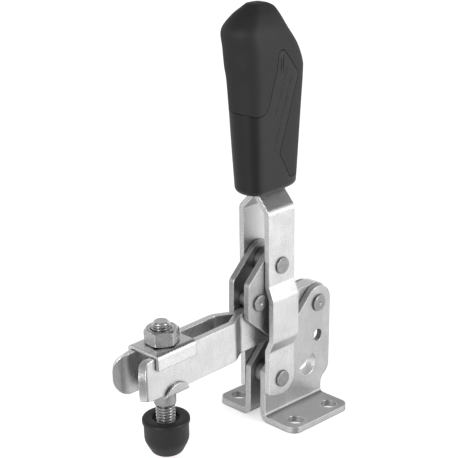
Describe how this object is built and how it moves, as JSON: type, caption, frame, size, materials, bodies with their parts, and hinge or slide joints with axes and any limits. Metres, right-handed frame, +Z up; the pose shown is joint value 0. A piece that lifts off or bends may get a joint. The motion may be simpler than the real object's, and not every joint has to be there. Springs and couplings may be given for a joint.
{
  "type": "toggle clamp",
  "caption": "Vertical over-centre toggle clamp: pressed base, bar arm with a forked end, sliding spindle with a rubber cap, and an upright grip lever.",
  "frame": {"origin": "centre of the four foot holes, on the underside of the base", "axes": "+X along the closed arm towards the spindle, +Y to the left, +Z up"},
  "size_m": [0.1151, 0.046, 0.1808],
  "materials": {
    "base_steel": "zinc-plated, satin",
    "arm_steel": "bright zinc-plated, satin",
    "rivet_steel": "plain, slightly dull",
    "spindle_steel": "zinc-plated",
    "nut_steel": "zinc-plated, darker",
    "grip_plastic": "black, slight gloss",
    "grip_soft": "black, matt soft skin",
    "cap_rubber": "black rubber"
  },
  "bodies": {
    "base": {"base_plate_left": "base_steel", "base_plate_right": "base_steel", "lever_pivot_rivet": "rivet_steel", "lever_pivot_sleeve": "rivet_steel", "arm_pivot_rivet": "rivet_steel", "arm_pivot_bush": "rivet_steel"},
    "lever": {"lever_plate_left": "arm_steel", "lever_plate_right": "arm_steel", "top_rivet_heads": "rivet_steel", "grip_core": "grip_plastic", "grip_cover": "grip_soft"},
    "arm": {"arm_bar_left": "arm_steel", "arm_bar_right": "arm_steel"},
    "links": {"link_plate_left": "base_steel", "link_plate_right": "base_steel", "link_rivet": "rivet_steel", "link_bush": "rivet_steel", "stop_rivet": "rivet_steel", "stop_sleeve": "rivet_steel", "top_sleeve": "rivet_steel", "top_pin": "rivet_steel"},
    "spindle_set": {"spindle": "spindle_steel", "spindle_nut": "nut_steel", "saddle_washer": "arm_steel", "lower_washer": "arm_steel", "spindle_cap": "cap_rubber"}
  },
  "joints": [
    {"name": "lever_pivot", "type": "hinge", "parent": "base", "child": "lever", "pos_m": [0.0105, 0, 0.0195], "axis": [0, -1, 0], "range_deg": [0, 55]},
    {"name": "arm_pivot", "type": "hinge", "parent": "base", "child": "arm", "pos_m": [-0.0153, 0, 0.0463], "axis": [0, -1, 0], "range_deg": [0, 97.5]},
    {"name": "link_pivot", "type": "hinge", "parent": "arm", "child": "links", "pos_m": [0.01061, 0, 0.04602], "axis": [0, -1, 0], "range_deg": [0, 54]},
    {"name": "spindle_travel", "type": "slide", "parent": "arm", "child": "spindle_set", "axis": [0.9991, 0, -0.0419], "range_m": [-0.018, 0.004]}
  ],
  "couplings": [
    {"joint": "arm_pivot", "follows": "lever_pivot", "ratio": 1.7669},
    {"joint": "link_pivot", "follows": "lever_pivot", "ratio": 0.9707}
  ]
}
